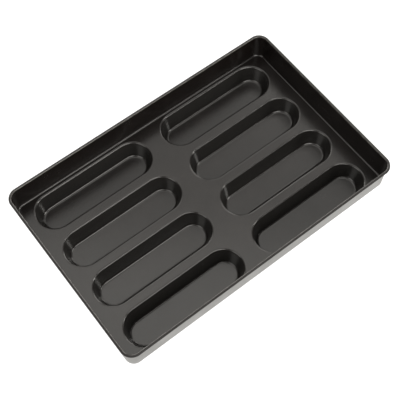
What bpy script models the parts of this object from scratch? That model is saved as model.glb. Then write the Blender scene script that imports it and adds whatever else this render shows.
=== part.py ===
"""Baguette tray: one deep-drawn steel sheet with eight pockets and a rim rolled round a steel wire.

Metres, +Z up, +X along the tray's length. The tray stands on its eight pocket floors at z = 0.
"""
import math

import bmesh
import bpy

MM = 0.001

# Overall size
LENGTH = 600 * MM  # over the rim, along X
WIDTH = 388 * MM  # over the rim, along Y
WALL_HEIGHT = 60 * MM  # deck surface to the top of the rim
POCKET_DEPTH = 33 * MM  # deck surface to the surface of a pocket's floor
SHEET = 0.8 * MM

# Rolled rim and the wire in it
WIRE_RADIUS = 1.6 * MM
WIRE_CLEARANCE = 0.3 * MM
WIRE_BUTT_GAP = 0.8 * MM  # between the wire's two ends, at the middle of the back side
ROLL_RADIUS = WIRE_RADIUS + WIRE_CLEARANCE + SHEET  # outside of the roll
ROLL_END = math.radians(-115)  # where the rolled sheet stops, under the wire
RIM_CORNER = 23 * MM  # outer corner radius of the rim, seen from above

# Side wall
WALL_ANGLE = math.radians(0.5)  # outward lean from the vertical
WALL_FILLET = 3.0 * MM  # inside radius between the deck and the wall

# Pockets, measured where the deck and the pocket's wall would meet without a fillet
POCKET_COLUMNS = (-145.5 * MM, 145.5 * MM)
POCKET_ROWS = 4
ROW_PITCH = 94.5 * MM
POCKET_HALF_LENGTH = 125 * MM
POCKET_HALF_WIDTH = 37.5 * MM
POCKET_TAPER = 11.8 * MM  # how far the floor's outline is inside the mouth's, along both sides
POCKET_END_TAPER = 9.2 * MM  # and at both ends, which are steeper
POCKET_ANGLE = math.atan(POCKET_TAPER / POCKET_DEPTH)
MOUTH_FILLET = 5.0 * MM
FLOOR_FILLET = 6.0 * MM

# Facets
CORNER_STEPS = 5  # in each quarter turn seen from above
FILLET_STEPS = 2
ROLL_STEPS = 4  # in each quarter turn of the roll
WIRE_RESOLUTION = 2
SHARP_ANGLE = math.radians(40)

DECK_Z = SHEET + POCKET_DEPTH
RIM_Z = DECK_Z + WALL_HEIGHT
WELD = MM / 100


def clear_scene():
    for obj in list(bpy.data.objects):
        bpy.data.objects.remove(obj, do_unlink=True)


def new_collection(name):
    collection = bpy.data.collections.new(name)
    bpy.context.scene.collection.children.link(collection)
    return collection


def steel(name, colour, roughness):
    material = bpy.data.materials.new(name)
    material.use_nodes = True
    shader = material.node_tree.nodes["Principled BSDF"]
    shader.inputs["Base Color"].default_value = (*colour, 1)
    shader.inputs["Metallic"].default_value = 0.9
    shader.inputs["Roughness"].default_value = roughness
    return material


def arc(x, y, radius, start, end, steps):
    """Points on an arc about (x, y), both ends included."""
    angles = [start + (end - start) * i / steps for i in range(steps + 1)]
    return [(x + radius * math.cos(a), y + radius * math.sin(a)) for a in angles]


def rounded_outline(half_x, half_y, radius, centre=(0.0, 0.0)):
    """Anticlockwise rounded rectangle, from +X round to +Y. It has round ends where radius is half_y."""
    points = []
    for turn, (sx, sy) in enumerate([(1, 1), (-1, 1), (-1, -1), (1, -1)]):
        x = centre[0] + sx * (half_x - radius)
        y = centre[1] + sy * (half_y - radius)
        start = turn * math.pi / 2
        points += arc(x, y, radius, start, start + math.pi / 2, CORNER_STEPS)
    return [p for p, before in zip(points, points[-1:] + points) if math.dist(p, before) > WELD]


def poly_curve(name, points, cyclic):
    curve = bpy.data.curves.new(name, "CURVE")
    curve.dimensions = "3D"
    curve.twist_mode = "Z_UP"
    spline = curve.splines.new("POLY")
    spline.points.add(len(points) - 1)
    for point, (x, y) in zip(spline.points, points):
        point.co = (x, y, 0, 1)
    spline.use_cyclic_u = cyclic
    return curve


def add_swept(bm, outline, section):
    """Carries an open section round a closed outline at deck level and adds the surface to bm.

    A section point is (distance to the outline's right, height above the deck). Returns the new vertices.
    """
    guide = bpy.data.objects.new("section", poly_curve("section", section, cyclic=False))
    path = bpy.data.objects.new("outline", poly_curve("outline", outline, cyclic=True))
    path.location.z = DECK_Z
    path.data.bevel_mode = "OBJECT"
    path.data.bevel_object = guide
    for obj in (guide, path):
        bpy.context.scene.collection.objects.link(obj)
    bpy.context.view_layer.update()
    evaluated = path.evaluated_get(bpy.context.evaluated_depsgraph_get())
    mesh = bpy.data.meshes.new_from_object(evaluated)
    mesh.transform(path.matrix_world)
    first = len(bm.verts)
    bm.from_mesh(mesh)
    for obj in (guide, path):
        bpy.data.objects.remove(obj, do_unlink=True)
    bpy.data.meshes.remove(mesh)
    bm.verts.ensure_lookup_table()
    return bm.verts[first:]


def steepen_ends(verts, middle_x):
    """Slides both round ends of a pocket outwards with their depth below the deck."""
    slide = (POCKET_TAPER - POCKET_END_TAPER) / POCKET_DEPTH
    for vert in verts:
        vert.co.x += math.copysign(slide * (DECK_Z - vert.co.z), vert.co.x - middle_x)


def wall_section():
    """From the deck up the wall, over the wire and round under it. Returns it and the deck's inset."""
    lean_x = math.sin(WALL_ANGLE)
    lean_z = math.cos(WALL_ANGLE)
    roll_z = WALL_HEIGHT - ROLL_RADIUS
    straight = (roll_z + (ROLL_RADIUS + WALL_FILLET) * lean_x - WALL_FILLET) / lean_z
    roll_x = (WALL_FILLET + ROLL_RADIUS) * lean_z + straight * lean_x
    points = arc(0, WALL_FILLET, WALL_FILLET, -math.pi / 2, -WALL_ANGLE, FILLET_STEPS)
    quarters = [math.pi - WALL_ANGLE, math.pi / 2, 0, -math.pi / 2]
    for start, end in zip(quarters, quarters[1:]):
        points += arc(roll_x, roll_z, ROLL_RADIUS, start, end, ROLL_STEPS)[:-1]
    points += arc(roll_x, roll_z, ROLL_RADIUS, -math.pi / 2, ROLL_END, 1)
    return points, roll_x + ROLL_RADIUS


def pocket_section():
    """From the deck over the mouth's edge, down the wall and onto the floor."""
    lean_x = math.sin(POCKET_ANGLE)
    lean_z = math.cos(POCKET_ANGLE)
    fillets = MOUTH_FILLET + FLOOR_FILLET
    straight = (POCKET_DEPTH - fillets * (1 - lean_x)) / lean_z
    floor_x = fillets * lean_z + straight * lean_x
    mouth = arc(0, -MOUTH_FILLET, MOUTH_FILLET, math.pi / 2, POCKET_ANGLE, FILLET_STEPS)
    floor_z = FLOOR_FILLET - POCKET_DEPTH
    floor = arc(floor_x, floor_z, FLOOR_FILLET, math.pi + POCKET_ANGLE, 1.5 * math.pi, FILLET_STEPS)
    return mouth + floor


def edges_at(bm, z):
    return [
        edge for edge in bm.edges
        if edge.is_boundary and all(abs(vert.co.z - z) < WELD for vert in edge.verts)
    ]


def make_sheet(collection):
    """The deck, pockets, walls and rolled rim as one surface, thickened away from the bread."""
    bm = bmesh.new()
    section, deck_inset = wall_section()
    outline = rounded_outline(
        LENGTH / 2 - deck_inset, WIDTH / 2 - deck_inset, RIM_CORNER - deck_inset
    )
    add_swept(bm, outline, section)

    mouth_reach = MOUTH_FILLET * math.tan((math.pi / 2 - POCKET_ANGLE) / 2)
    half_x = POCKET_HALF_LENGTH + mouth_reach
    half_y = POCKET_HALF_WIDTH + mouth_reach
    section = [(-x, z) for x, z in pocket_section()]
    for column_x in POCKET_COLUMNS:
        for row in range(POCKET_ROWS):
            row_y = (row - (POCKET_ROWS - 1) / 2) * ROW_PITCH
            outline = rounded_outline(half_x, half_y, half_y, (column_x, row_y))
            steepen_ends(add_swept(bm, outline, section), column_x)

    bmesh.ops.remove_doubles(bm, verts=bm.verts, dist=WELD)
    bmesh.ops.triangle_fill(bm, edges=edges_at(bm, DECK_Z), use_beauty=True)
    bmesh.ops.holes_fill(bm, edges=edges_at(bm, SHEET))
    bmesh.ops.recalc_face_normals(bm, faces=bm.faces)
    floor = min(bm.faces, key=lambda face: face.calc_center_median().z)
    if floor.normal.z < 0:
        bmesh.ops.reverse_faces(bm, faces=bm.faces)
    mesh = bpy.data.meshes.new("tray_sheet")
    bm.to_mesh(mesh)
    bm.free()

    sheet = bpy.data.objects.new("tray_sheet", mesh)
    collection.objects.link(sheet)
    thickness = sheet.modifiers.new("thickness", "SOLIDIFY")
    thickness.thickness = SHEET
    thickness.offset = -1
    thickness.use_even_offset = True
    mesh.shade_smooth()
    mesh.set_sharp_from_angle(angle=SHARP_ANGLE)
    mesh.materials.append(steel("coated_steel", (0.06, 0.058, 0.055), 0.45))
    return sheet


def make_wire(collection):
    """The stiffening wire inside the rolled rim, with its ends butted at the middle of the back."""
    half_x = LENGTH / 2 - ROLL_RADIUS
    half_y = WIDTH / 2 - ROLL_RADIUS
    outline = rounded_outline(half_x, half_y, RIM_CORNER - ROLL_RADIUS)
    after_gap = next(i for i, (x, y) in enumerate(outline) if x < 0)
    ends = [(-WIRE_BUTT_GAP / 2, half_y), (WIRE_BUTT_GAP / 2, half_y)]
    route = ends[:1] + outline[after_gap:] + outline[:after_gap] + ends[1:]
    curve = poly_curve("rim_wire", route, cyclic=False)
    curve.bevel_depth = WIRE_RADIUS
    curve.bevel_resolution = WIRE_RESOLUTION
    curve.use_fill_caps = True
    wire = bpy.data.objects.new("rim_wire", curve)
    wire.location.z = RIM_Z - ROLL_RADIUS
    collection.objects.link(wire)
    curve.materials.append(steel("bright_wire", (0.55, 0.55, 0.56), 0.35))
    return wire


clear_scene()
tray = new_collection("baguette_tray")
make_sheet(tray)
make_wire(tray)
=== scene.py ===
"""Looks of the baguette tray: a fine coated sheet and its rim wire, on a white studio floor.

Metres, +Z up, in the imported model's frame. The tray stands on its eight pocket floors at z = 0.
"""
import math

import bmesh
import bpy
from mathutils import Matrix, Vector


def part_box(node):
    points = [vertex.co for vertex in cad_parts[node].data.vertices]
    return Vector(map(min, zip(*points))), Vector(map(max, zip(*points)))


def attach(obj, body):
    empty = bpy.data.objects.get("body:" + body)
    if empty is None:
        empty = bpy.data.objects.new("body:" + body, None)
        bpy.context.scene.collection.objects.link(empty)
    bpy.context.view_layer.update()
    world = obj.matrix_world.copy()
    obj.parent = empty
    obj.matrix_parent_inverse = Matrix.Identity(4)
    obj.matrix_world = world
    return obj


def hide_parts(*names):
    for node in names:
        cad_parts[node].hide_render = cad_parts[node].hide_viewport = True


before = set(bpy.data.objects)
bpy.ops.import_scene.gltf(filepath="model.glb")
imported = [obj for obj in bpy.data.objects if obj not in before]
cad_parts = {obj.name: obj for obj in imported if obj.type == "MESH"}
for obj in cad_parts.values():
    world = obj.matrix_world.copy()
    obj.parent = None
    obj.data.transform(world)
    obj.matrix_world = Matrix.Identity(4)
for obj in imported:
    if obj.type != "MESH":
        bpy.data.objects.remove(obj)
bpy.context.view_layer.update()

MM = 0.001

# Overall size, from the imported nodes
RIM_LOW, RIM_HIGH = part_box("tray_sheet")
LENGTH = RIM_HIGH.x - RIM_LOW.x
WIDTH = RIM_HIGH.y - RIM_LOW.y
RIM_Z = RIM_HIGH.z
WIRE_LOW, WIRE_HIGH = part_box("rim_wire")
WIRE_RADIUS = (WIRE_HIGH.z - WIRE_LOW.z) / 2

# Sheet, rolled rim and walls
SHEET = 0.8 * MM
WIRE_CLEARANCE = 0.3 * MM
WIRE_BUTT_GAP = 0.8 * MM
WIRE_CHAMFER = 0.3 * MM
ROLL_RADIUS = WIRE_RADIUS + WIRE_CLEARANCE + SHEET
ROLL_END = math.radians(-115)
RIM_CORNER = 23 * MM
WALL_ANGLE = math.radians(0.5)
WALL_FILLET = 3.0 * MM

# Pockets
POCKET_COLUMNS = (-145.5 * MM, 145.5 * MM)
POCKET_ROWS = 4
ROW_PITCH = 94.5 * MM
POCKET_DEPTH = 33 * MM
POCKET_HALF_LENGTH = 125 * MM
POCKET_HALF_WIDTH = 37.5 * MM
POCKET_TAPER = 11.8 * MM  # how far the floor's outline is inside the mouth's, along both sides
POCKET_END_TAPER = 9.2 * MM  # and at both ends, which are steeper
POCKET_ANGLE = math.atan(POCKET_TAPER / POCKET_DEPTH)
MOUTH_FILLET = 5.0 * MM
FLOOR_FILLET = 6.0 * MM

DECK_Z = SHEET + POCKET_DEPTH
WALL_HEIGHT = RIM_Z - DECK_Z
WELD = MM / 100

# Facets
CORNER_STEPS = 24  # in each quarter turn seen from above
FILLET_STEPS = 8
ROLL_STEPS = 30  # over the whole roll
WIRE_RESOLUTION = 6

# Material slots of the sheet
COATED, BARE, CUT = range(3)

# Coating colours, and where on the tray they show
COATING_IOR = 1.5
COATING_DARK = (0.0032, 0.0023, 0.0020, 1)
COATING_LIGHT = (0.0048, 0.0035, 0.0031, 1)
# Painted light: a lighter tone on the pockets' walls, standing in for the light they catch.
PAINTED_WALL_LIGHT_COLOUR = (0.0095, 0.009, 0.0085, 1)  # on the pockets' walls
WALL_LIGHT_FLOOR_FADE = (SHEET, SHEET + 6 * MM)  # heights
WALL_LIGHT_DECK_FADE = (DECK_Z - 4 * MM, DECK_Z)
# Painted highlight: a light band in patches on the inner half of the rim's crown, standing in for the
# bright line the rim reflects.
RIM_HIGHLIGHT_COLOUR = (0.06, 0.057, 0.053, 1)  # on the crown of the rim
RIM_HIGHLIGHT_HEIGHTS = (RIM_Z - 4 * MM, RIM_Z - 3 * MM)
RIM_HIGHLIGHT_INNER_FADE = (-5.6 * MM, -5.0 * MM)  # rim distances, negative inside the rim's outline
RIM_HIGHLIGHT_OUTER_FADE = (-4.3 * MM, -3.7 * MM)
DULL_FADE = (-3.7 * MM, -3.0 * MM)
OUTER_DULLNESS = 3.6  # how much rougher about the outer half of the roll is

# Bare metals, each as its duller and its brighter colour
BARE_COLOURS = ((0.325, 0.321, 0.310), (0.405, 0.401, 0.390))
WIRE_COLOURS = ((0.42, 0.41, 0.40, 1), (0.58, 0.57, 0.56, 1))
CUT_LIGHTNESS = 1.2  # of the cut edge, against the bare sheet

# Camera
CAMERA_PLACE = (-0.4333, -0.5631, 1.4445)
CAMERA_TURN = (26.426, 0.109, -37.615)  # degrees
CAMERA_LENS = 75.69  # mm, on the default 36 mm sensor

# Studio
FLOOR_HALF = 6.0
FLOOR_GAP = 0.1 * MM
FLOOR_COLOUR = (0.2, 0.2, 0.2, 1)
FLOOR_GLOW = 0.95  # as the camera sees it
FLOOR_BOUNCE = 0.6  # as the tray does
WORLD_FILL = 0.4
WARM = (1.0, 0.975, 0.925)
# Name: azimuth and elevation in degrees, distance, width and height, radiance.
# Azimuth 0 is the front, and 90 is the right.
SOFTBOXES = {
    "overhead_back": (140, 55, 2.4, (2.4, 0.9), 1.0),
    "overhead_top": (140, 79, 2.4, (2.4, 1.0), 2.2),
    "front_key": (-8, 46, 2.5, (2.0, 0.7), 9.5),
    "front_low": (6, 16, 2.5, (2.6, 0.5), 7.0),
    "left_key": (-85, 33, 2.3, (1.2, 1.0), 5.0),
    "back_middle": (168, 29, 2.5, (2.4, 1.0), 2.8),
    "back_low": (175, 11, 2.6, (2.6, 0.6), 9.0),
    "right_middle": (120, 40, 2.6, (0.8, 0.8), 4.0),
    "right_low": (112, 14, 2.6, (1.6, 0.7), 8.0),
    "right_spot": (47, 34, 2.5, (0.3, 0.4), 58.0),
}


def arc(x, y, radius, start, end, steps, hollow=False):
    """Points (x, y, normal x, normal y) on an arc. The normal points to its centre where hollow."""
    side = -1 if hollow else 1
    points = []
    for i in range(steps + 1):
        angle = start + (end - start) * i / steps
        cos, sin = math.cos(angle), math.sin(angle)
        points.append((x + radius * cos, y + radius * sin, side * cos, side * sin))
    return points


def rounded_outline(half_x, half_y, radius, centre=(0.0, 0.0)):
    """Anticlockwise rounded rectangle of (x, y, outward x, outward y)."""
    points = []
    for turn, (sx, sy) in enumerate([(1, 1), (-1, 1), (-1, -1), (1, -1)]):
        x = centre[0] + sx * (half_x - radius)
        y = centre[1] + sy * (half_y - radius)
        start = turn * math.pi / 2
        points += arc(x, y, radius, start, start + math.pi / 2, CORNER_STEPS)
    before = points[-1:] + points
    return [p for p, last in zip(points, before) if math.dist(p[:2], last[:2]) > WELD]


def wall_section():
    """(outward distance, height above the deck, normal) up the wall, over the wire and round under it."""
    lean_x = math.sin(WALL_ANGLE)
    lean_z = math.cos(WALL_ANGLE)
    roll_z = WALL_HEIGHT - ROLL_RADIUS
    straight = (roll_z + (ROLL_RADIUS + WALL_FILLET) * lean_x - WALL_FILLET) / lean_z
    roll_x = (WALL_FILLET + ROLL_RADIUS) * lean_z + straight * lean_x
    fillet = arc(0, WALL_FILLET, WALL_FILLET, -math.pi / 2, -WALL_ANGLE, FILLET_STEPS, hollow=True)
    roll = arc(roll_x, roll_z, ROLL_RADIUS, math.pi - WALL_ANGLE, ROLL_END, ROLL_STEPS)
    return fillet + roll, roll_x + ROLL_RADIUS


def pocket_section():
    """(inward distance, height above the deck, normal) over the mouth's edge, down and onto the floor."""
    lean_x = math.sin(POCKET_ANGLE)
    lean_z = math.cos(POCKET_ANGLE)
    fillets = MOUTH_FILLET + FLOOR_FILLET
    straight = (POCKET_DEPTH - fillets * (1 - lean_x)) / lean_z
    floor_x = fillets * lean_z + straight * lean_x
    floor_z = FLOOR_FILLET - POCKET_DEPTH
    mouth = arc(0, -MOUTH_FILLET, MOUTH_FILLET, math.pi / 2, POCKET_ANGLE, FILLET_STEPS)
    floor = arc(
        floor_x, floor_z, FLOOR_FILLET, math.pi + POCKET_ANGLE, 1.5 * math.pi, FILLET_STEPS, hollow=True
    )
    return mouth + floor


def sheet_lofts():
    """Each outline of the sheet, the section that runs along it and the slide of its ends."""
    section, deck_inset = wall_section()
    half_x = LENGTH / 2 - deck_inset
    half_y = WIDTH / 2 - deck_inset
    lofts = [(rounded_outline(half_x, half_y, RIM_CORNER - deck_inset), section, 0)]

    mouth_reach = MOUTH_FILLET * math.tan((math.pi / 2 - POCKET_ANGLE) / 2)
    half_x = POCKET_HALF_LENGTH + mouth_reach
    half_y = POCKET_HALF_WIDTH + mouth_reach
    section = [(-x, z, -normal_x, normal_z) for x, z, normal_x, normal_z in pocket_section()]
    slide = (POCKET_TAPER - POCKET_END_TAPER) / POCKET_DEPTH
    for column_x in POCKET_COLUMNS:
        for row in range(POCKET_ROWS):
            row_y = (row - (POCKET_ROWS - 1) / 2) * ROW_PITCH
            outline = rounded_outline(half_x, half_y, half_y, (column_x, row_y))
            lofts.append((outline, section, slide))
    return lofts


def add_loft(bm, normals, outline, section, slide, depth, facing, material):
    """Carries a section round an outline, sunk by depth into the sheet, and returns its rings.

    Both ends slide outwards along X, by slide for each metre below the deck.
    """
    middle = sum(point[0] for point in outline) / len(outline)
    rings = []
    for out, height, normal_out, normal_z in section:
        out -= depth * normal_out
        z = DECK_Z + height - depth * normal_z
        ring = []
        for x, y, out_x, out_y in outline:
            lean = math.copysign(slide, x - middle)
            ring.append(bm.verts.new((x + out * out_x + lean * (DECK_Z - z), y + out * out_y, z)))
            normal_x = normal_out * out_x
            normal = Vector((normal_x, normal_out * out_y, normal_z + lean * normal_x))
            normals.append(facing * normal.normalized())
        rings.append(ring)
    for ring, following in zip(rings, rings[1:]):
        add_strip(bm, ring, following, material)
    return rings


def add_strip(bm, ring, following, material):
    count = len(ring)
    for i in range(count):
        j = (i + 1) % count
        face = bm.faces.new((ring[i], following[i], following[j], ring[j]))
        face.material_index = material


def add_flat(bm, rings, material):
    """Fills the deck between the wall's first ring and the pockets' mouths."""
    edges = []
    for ring in rings:
        for i, vert in enumerate(ring):
            edges.append(bm.edges.get((vert, ring[(i + 1) % len(ring)])))
    filled = bmesh.ops.triangle_fill(bm, edges=edges, use_beauty=True)
    for item in filled["geom"]:
        if isinstance(item, bmesh.types.BMFace):
            item.material_index = material


def add_side(bm, normals, depth, facing, material):
    """One side of the sheet: the wall and rim, the pockets, their floors and the deck between."""
    lofts = [
        add_loft(bm, normals, *loft, depth, facing, material)
        for loft in sheet_lofts()
    ]
    for rings in lofts[1:]:
        bm.faces.new(rings[-1]).material_index = material
    add_flat(bm, [rings[0] for rings in lofts], material)
    return lofts[0][-1]


def make_sheet(materials):
    """The whole sheet as one closed body with the exact normal at every corner."""
    bm = bmesh.new()
    normals = []
    coated_rim = add_side(bm, normals, 0, 1, COATED)
    bare_rim = add_side(bm, normals, SHEET, -1, BARE)
    add_strip(bm, coated_rim, bare_rim, CUT)
    bmesh.ops.recalc_face_normals(bm, faces=bm.faces)
    mesh = bpy.data.meshes.new("tray_sheet_fine")
    bm.to_mesh(mesh)
    bm.free()
    for material in materials:
        mesh.materials.append(material)
    mesh.shade_smooth()
    corners = []
    for face in mesh.polygons:
        flat = face.material_index == CUT
        corners += [face.normal[:] if flat else normals[vertex] for vertex in face.vertices]
    mesh.normals_split_custom_set(corners)
    return link(bpy.data.objects.new("tray_sheet_fine", mesh))


def make_wire(material):
    """The round wire inside the rim, chamfered where its ends meet at the middle of the back."""
    half_x = LENGTH / 2 - ROLL_RADIUS
    half_y = WIDTH / 2 - ROLL_RADIUS
    outline = [p[:2] for p in rounded_outline(half_x, half_y, RIM_CORNER - ROLL_RADIUS)]
    after_gap = next(i for i, (x, y) in enumerate(outline) if x < 0)
    gap = WIRE_BUTT_GAP / 2
    start = [(-gap, half_y), (-gap - WIRE_CHAMFER, half_y)]
    end = [(gap + WIRE_CHAMFER, half_y), (gap, half_y)]
    route = start + outline[after_gap:] + outline[:after_gap] + end

    curve = bpy.data.curves.new("rim_wire_fine", "CURVE")
    curve.dimensions = "3D"
    curve.twist_mode = "Z_UP"
    curve.bevel_depth = WIRE_RADIUS
    curve.bevel_resolution = WIRE_RESOLUTION
    curve.use_fill_caps = True
    spline = curve.splines.new("POLY")
    spline.points.add(len(route) - 1)
    for point, (x, y) in zip(spline.points, route):
        point.co = (x, y, RIM_Z - ROLL_RADIUS, 1)
    for point in (spline.points[0], spline.points[-1]):
        point.radius = 1 - WIRE_CHAMFER / WIRE_RADIUS
    curve.materials.append(material)
    return link(bpy.data.objects.new("rim_wire_fine", curve))


def link(obj):
    bpy.context.scene.collection.objects.link(obj)
    return obj


class Shader:
    """A material's node tree, with short ways to add nodes to it."""

    def __init__(self, name):
        self.material = bpy.data.materials.new(name)
        self.material.use_nodes = True
        self.tree = self.material.node_tree
        self.bsdf = self.tree.nodes["Principled BSDF"]
        self.place = self.node("ShaderNodeTexCoord").outputs["Object"]

    def node(self, kind, settings=(), **inputs):
        node = self.tree.nodes.new(kind)
        for key, value in dict(settings).items():
            setattr(node, key, value)
        for key, value in inputs.items():
            self.put(node.inputs[key.replace("_", " ")], value)
        return node

    def put(self, socket, value):
        if isinstance(value, bpy.types.NodeSocket):
            self.tree.links.new(value, socket)
        else:
            socket.default_value = value

    def noise(self, size, detail=2.0, stretch=(1, 1, 1)):
        """Noise whose features are about size metres across, longer along an axis stretched over 1."""
        mapping = self.node("ShaderNodeMapping", Vector=self.place)
        mapping.inputs["Scale"].default_value = [1 / (size * s) for s in stretch]
        noise = self.node("ShaderNodeTexNoise", Vector=mapping.outputs[0], Scale=1.0, Detail=detail)
        return noise.outputs["Fac"]

    def spread(self, value, low, high, source=(0.3, 0.7)):
        """value from the source range, by default noise's usual one, onto low to high."""
        node = self.node("ShaderNodeMapRange", Value=value)
        for name, number in zip(("From Min", "From Max", "To Min", "To Max"), (*source, low, high)):
            node.inputs[name].default_value = number
        return node.outputs["Result"]

    def rim_distance(self):
        """How far a point is inside the rim's outline seen from above, as a negative number."""
        folded = self.node("ShaderNodeVectorMath", {"operation": "ABSOLUTE"})
        self.put(folded.inputs[0], self.place)
        beyond = self.node("ShaderNodeVectorMath", {"operation": "SUBTRACT"})
        self.put(beyond.inputs[0], folded.outputs[0])
        beyond.inputs[1].default_value = (LENGTH / 2 - RIM_CORNER, WIDTH / 2 - RIM_CORNER, 1)
        corner = self.node("ShaderNodeVectorMath", {"operation": "MAXIMUM"})
        self.put(corner.inputs[0], beyond.outputs[0])
        length = self.node("ShaderNodeVectorMath", {"operation": "LENGTH"})
        self.put(length.inputs[0], corner.outputs[0])
        node = self.node("ShaderNodeMath", {"operation": "SUBTRACT"})
        self.put(node.inputs[0], length.outputs["Value"])
        node.inputs[1].default_value = RIM_CORNER
        return node.outputs[0]

    def multiply(self, a, b):
        node = self.node("ShaderNodeMath", {"operation": "MULTIPLY"})
        self.put(node.inputs[0], a)
        self.put(node.inputs[1], b)
        return node.outputs[0]

    def mix_colour(self, factor, a, b):
        node = self.node("ShaderNodeMix", {"data_type": "RGBA"})
        self.put(node.inputs[0], factor)
        self.put(node.inputs[6], a)
        self.put(node.inputs[7], b)
        return node.outputs[2]

    def bump(self, height, distance, strength=1.0, under=None):
        node = self.node("ShaderNodeBump", Height=height, Distance=distance, Strength=strength)
        if under is not None:
            self.put(node.inputs["Normal"], under)
        return node.outputs["Normal"]


def coating():
    """Dark satin non-stick coating.

    It has a fine sprayed grain and soft clouds in its gloss. The pockets' walls get a lighter tone that
    is painted light, and the inner crown of the rim gets a painted highlight in patches.
    """
    s = Shader("coated_steel")
    s.bsdf.inputs["IOR"].default_value = COATING_IOR
    grain = s.noise(0.9 * MM, detail=3)
    clouds = s.noise(35 * MM, detail=4)
    speckle = s.noise(1.4 * MM, detail=1)
    ripple = s.noise(60 * MM, detail=1)

    tint = s.mix_colour(s.spread(clouds, 0, 1), COATING_DARK, COATING_LIGHT)
    height = s.node("ShaderNodeSeparateXYZ", Vector=s.place).outputs["Z"]
    # Painted light: between the floor and the deck, the pockets' walls take the lighter tone.
    above_floor = s.spread(height, 0, 1, WALL_LIGHT_FLOOR_FADE)
    below_deck = s.spread(height, 1, 0, WALL_LIGHT_DECK_FADE)
    tint = s.mix_colour(s.multiply(above_floor, below_deck), tint, PAINTED_WALL_LIGHT_COLOUR)

    # Painted highlight: a light band in patches along the inner side of the rim's crown.
    reach = s.rim_distance()
    crown = s.multiply(
        s.spread(reach, 0, 1, RIM_HIGHLIGHT_INNER_FADE), s.spread(reach, 1, 0, RIM_HIGHLIGHT_OUTER_FADE)
    )
    near_rim = s.multiply(s.spread(height, 0, 1, RIM_HIGHLIGHT_HEIGHTS), crown)
    patches = s.spread(s.noise(6 * MM, detail=5), 0.4, 1, (0.4, 0.65))
    painted_rim_highlight = s.multiply(near_rim, patches)
    s.put(s.bsdf.inputs["Base Color"], s.mix_colour(painted_rim_highlight, tint, RIM_HIGHLIGHT_COLOUR))

    gloss = s.spread(clouds, 0.21, 0.25)
    mottle = s.spread(speckle, 0.88, 1.12)
    dull = s.spread(reach, 1, OUTER_DULLNESS, DULL_FADE)
    s.put(s.bsdf.inputs["Roughness"], s.multiply(s.multiply(gloss, mottle), dull))
    waves = s.bump(ripple, 0.05 * MM)
    s.put(s.bsdf.inputs["Normal"], s.bump(grain, 0.03 * MM, under=waves))
    return s.material


def bare_steel(name, lightness=1.0):
    """Aluminised sheet: faint rolling lines along the tray, soft cloudy spangle and dull patches."""
    s = Shader(name)
    s.bsdf.inputs["Metallic"].default_value = 1.0
    lines = s.noise(0.35 * MM, detail=3, stretch=(60, 1, 1))
    spangle = s.noise(5 * MM, detail=2)
    clouds = s.noise(45 * MM, detail=4)
    dull, bright = [[lightness * c for c in colour] + [1] for colour in BARE_COLOURS]
    s.put(s.bsdf.inputs["Base Color"], s.mix_colour(s.spread(clouds, 0, 1), dull, bright))
    gloss = s.spread(spangle, 0.36, 0.46)
    s.put(s.bsdf.inputs["Roughness"], s.multiply(gloss, s.spread(lines, 0.9, 1.12)))
    s.put(s.bsdf.inputs["Normal"], s.bump(lines, 0.004 * MM))
    return s.material


def wire_steel():
    """Drawn wire: bright, with fine scratches along its run."""
    s = Shader("wire_steel")
    s.bsdf.inputs["Metallic"].default_value = 1.0
    scratches = s.noise(0.25 * MM, detail=3, stretch=(30, 30, 1))
    clouds = s.noise(12 * MM, detail=3)
    tint = s.mix_colour(s.spread(clouds, 0, 1), *WIRE_COLOURS)
    s.put(s.bsdf.inputs["Base Color"], tint)
    s.put(s.bsdf.inputs["Roughness"], s.spread(scratches, 0.25, 0.4))
    s.put(s.bsdf.inputs["Normal"], s.bump(scratches, 0.006 * MM))
    return s.material


def make_floor():
    """White floor that is mostly lit from within, as a light table, so that it shows almost no shadow."""
    mesh = bpy.data.meshes.new("floor")
    bm = bmesh.new()
    bmesh.ops.create_grid(bm, x_segments=1, y_segments=1, size=FLOOR_HALF)
    bmesh.ops.translate(bm, verts=bm.verts, vec=(0, 0, -FLOOR_GAP))
    bm.to_mesh(mesh)
    bm.free()
    s = Shader("floor_white")
    s.bsdf.inputs["Base Color"].default_value = FLOOR_COLOUR
    s.bsdf.inputs["Roughness"].default_value = 1.0
    s.bsdf.inputs["Specular IOR Level"].default_value = 0.0
    s.bsdf.inputs["Emission Color"].default_value = (1, 1, 1, 1)
    seen = s.node("ShaderNodeLightPath").outputs["Is Camera Ray"]
    s.put(s.bsdf.inputs["Emission Strength"], s.spread(seen, FLOOR_BOUNCE, FLOOR_GLOW, (0, 1)))
    mesh.materials.append(s.material)
    floor = link(bpy.data.objects.new("floor", mesh))


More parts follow.
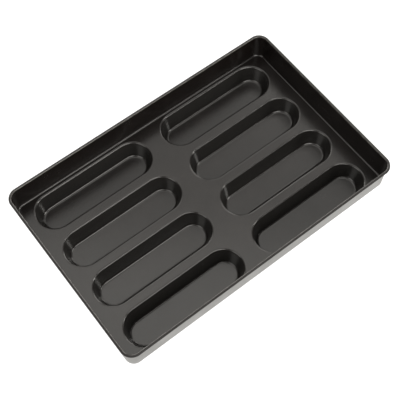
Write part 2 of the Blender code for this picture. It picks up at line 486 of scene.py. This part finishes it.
def add_softbox(name, azimuth, elevation, distance, size, radiance):
    """A rectangular soft light that faces the tray."""
    a, e = math.radians(azimuth), math.radians(elevation)
    place = [
        distance * math.sin(a) * math.cos(e),
        -distance * math.cos(a) * math.cos(e),
        distance * math.sin(e) + DECK_Z,
    ]
    light = bpy.data.lights.new(name, "AREA")
    light.shape = "RECTANGLE"
    light.size, light.size_y = size
    light.energy = radiance * math.pi * size[0] * size[1]
    light.color = WARM
    lamp = link(bpy.data.objects.new(name, light))
    lamp.location = place
    facing = lamp.location.copy()
    facing.z -= DECK_Z
    lamp.rotation_euler = facing.to_track_quat("Z", "Y").to_euler()


def make_world():
    world = bpy.data.worlds.new("studio")
    world.use_nodes = True
    tree = world.node_tree
    seen = tree.nodes["Background"]
    seen.inputs["Color"].default_value = (1, 1, 1, 1)
    seen.inputs["Strength"].default_value = 1.0
    fill = tree.nodes.new("ShaderNodeBackground")
    fill.inputs["Color"].default_value = (*WARM, 1)
    fill.inputs["Strength"].default_value = WORLD_FILL
    path = tree.nodes.new("ShaderNodeLightPath")
    mix = tree.nodes.new("ShaderNodeMixShader")
    tree.links.new(path.outputs["Is Camera Ray"], mix.inputs["Fac"])
    tree.links.new(fill.outputs[0], mix.inputs[1])
    tree.links.new(seen.outputs[0], mix.inputs[2])
    tree.links.new(mix.outputs[0], tree.nodes["World Output"].inputs["Surface"])
    bpy.context.scene.world = world


def make_camera():
    data = bpy.data.cameras.new("camera")
    data.lens = CAMERA_LENS
    camera = link(bpy.data.objects.new("camera", data))
    camera.location = CAMERA_PLACE
    camera.rotation_euler = [math.radians(angle) for angle in CAMERA_TURN]
    bpy.context.scene.camera = camera


sheet = make_sheet([coating(), bare_steel("bare_steel"), bare_steel("cut_edge", CUT_LIGHTNESS)])
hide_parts("tray_sheet")
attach(sheet, "root")

wire = make_wire(wire_steel())
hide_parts("rim_wire")
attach(wire, "root")

make_floor()
make_world()
make_camera()
for name, settings in SOFTBOXES.items():
    add_softbox(name, *settings)
bpy.context.scene.view_settings.view_transform = "Standard"
